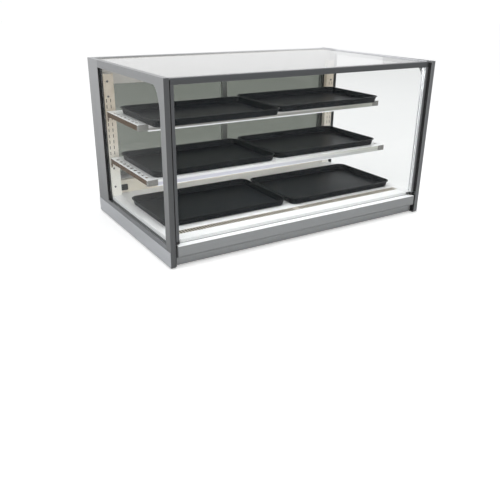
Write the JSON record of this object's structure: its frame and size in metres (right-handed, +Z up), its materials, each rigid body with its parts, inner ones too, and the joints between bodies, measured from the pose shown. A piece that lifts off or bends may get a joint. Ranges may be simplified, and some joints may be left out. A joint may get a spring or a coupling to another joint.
{
  "type": "countertop bakery display case",
  "caption": "Glazed countertop case with a tilting front glass, stepped lit shelves, black lift-out trays and sliding rear doors, for showing bread and pastries.",
  "frame": {"origin": "middle of the rectangle the case covers, on the surface its feet stand on", "axes": "+X along the case to the customer's right, +Y from the customer to the server, +Z up"},
  "size_m": [1.22, 0.74, 0.655],
  "materials": {
    "frame_aluminium": "satin anodised",
    "skirt_aluminium": "satin anodised, lighter",
    "front_frame_aluminium": "satin anodised, darker",
    "base_aluminium": "brushed and anodised",
    "door_aluminium": "mill finish",
    "clear_glass": "polished float glass",
    "tinted_glass": "polished, grey-green tint",
    "white_enamel": "gloss stove enamel",
    "cream_enamel": "semi-gloss stove enamel",
    "bracket_enamel": "semi-gloss stove enamel",
    "beige_enamel": "semi-gloss stove enamel",
    "shelf_rail_plastic": "extruded, slightly glossy",
    "light_lens": "frosted diffuser",
    "black_rubber": "matt",
    "black_nylon": "moulded",
    "black_moulding": "moulded, semi-gloss",
    "black_tray": "pressed, slightly glossy"
  },
  "bodies": {
    "case": {"left_front_stile": "frame_aluminium", "left_rear_stile": "frame_aluminium", "left_top_rail": "frame_aluminium", "left_bottom_rail": "frame_aluminium", "left_end_glass": "clear_glass", "left_glazing_strip": "black_rubber", "left_skirt": "skirt_aluminium", "left_deck_pan": "white_enamel", "left_deck_strip": "white_enamel", "left_upright": "cream_enamel", "middle_left_bracket": "bracket_enamel", "upper_left_bracket": "bracket_enamel", "right_front_stile": "frame_aluminium", "right_rear_stile": "frame_aluminium", "right_top_rail": "frame_aluminium", "right_bottom_rail": "frame_aluminium", "right_end_glass": "clear_glass", "right_glazing_strip": "black_rubber", "right_skirt": "skirt_aluminium", "right_deck_pan": "white_enamel", "right_deck_strip": "white_enamel", "right_upright": "cream_enamel", "middle_right_bracket": "bracket_enamel", "upper_right_bracket": "bracket_enamel", "middle_shelf": "white_enamel", "middle_shelf_rail": "shelf_rail_plastic", "middle_shelf_light": "light_lens", "upper_shelf": "white_enamel", "upper_shelf_rail": "shelf_rail_plastic", "upper_shelf_light": "light_lens", "front_base_rail": "base_aluminium", "base_pan": "white_enamel", "rubber_feet": "black_rubber", "rear_sill": "beige_enamel", "bottom_door_track": "door_aluminium", "top_door_track": "door_aluminium", "rear_header": "beige_enamel", "rear_top_rail": "frame_aluminium", "top_glass": "clear_glass", "top_light_bar": "front_frame_aluminium", "top_light_lens": "light_lens", "shelf_socket": "black_moulding", "cord_gland": "black_moulding", "switch_housing": "black_moulding"},
    "front_glass_unit": {"front_glass": "clear_glass", "front_glass_rail": "front_frame_aluminium", "left_glass_channel": "front_frame_aluminium", "right_glass_channel": "front_frame_aluminium", "front_glass_pivots": "black_nylon"},
    "left_door": {"left_door_frame": "door_aluminium", "left_door_glass": "tinted_glass"},
    "right_door": {"right_door_frame": "door_aluminium", "right_door_glass": "tinted_glass"},
    "light_rocker": {"switch_rocker": "black_moulding"},
    "deck_left_tray_body": {"deck_left_tray": "black_tray"},
    "deck_right_tray_body": {"deck_right_tray": "black_tray"},
    "middle_left_tray_body": {"middle_left_tray": "black_tray"},
    "middle_right_tray_body": {"middle_right_tray": "black_tray"},
    "upper_left_tray_body": {"upper_left_tray": "black_tray"},
    "upper_right_tray_body": {"upper_right_tray": "black_tray"}
  },
  "joints": [
    {"name": "front_glass_tilt", "type": "hinge", "parent": "case", "child": "front_glass_unit", "pos_m": [0, -0.354, 0.09], "axis": [1, 0, 0], "range_deg": [0, 30]},
    {"name": "left_door_slide", "type": "slide", "parent": "case", "child": "left_door", "axis": [1, 0, 0], "range_m": [0, 0.568]},
    {"name": "right_door_slide", "type": "slide", "parent": "case", "child": "right_door", "axis": [-1, 0, 0], "range_m": [0, 0.568]},
    {"name": "deck_left_tray_lift", "type": "slide", "parent": "case", "child": "deck_left_tray_body", "axis": [0, 0, 1], "range_m": [0, 0.06]},
    {"name": "deck_right_tray_lift", "type": "slide", "parent": "case", "child": "deck_right_tray_body", "axis": [0, 0, 1], "range_m": [0, 0.06]},
    {"name": "middle_left_tray_lift", "type": "slide", "parent": "case", "child": "middle_left_tray_body", "axis": [0, 0, 1], "range_m": [0, 0.06]},
    {"name": "middle_right_tray_lift", "type": "slide", "parent": "case", "child": "middle_right_tray_body", "axis": [0, 0, 1], "range_m": [0, 0.06]},
    {"name": "upper_left_tray_lift", "type": "slide", "parent": "case", "child": "upper_left_tray_body", "axis": [0, 0, 1], "range_m": [0, 0.06]},
    {"name": "upper_right_tray_lift", "type": "slide", "parent": "case", "child": "upper_right_tray_body", "axis": [0, 0, 1], "range_m": [0, 0.06]},
    {"name": "light_rocker_turn", "type": "hinge", "parent": "case", "child": "light_rocker", "pos_m": [0.498, 0.346, 0.06], "axis": [1, 0, 0], "range_deg": [0, 12]}
  ]
}
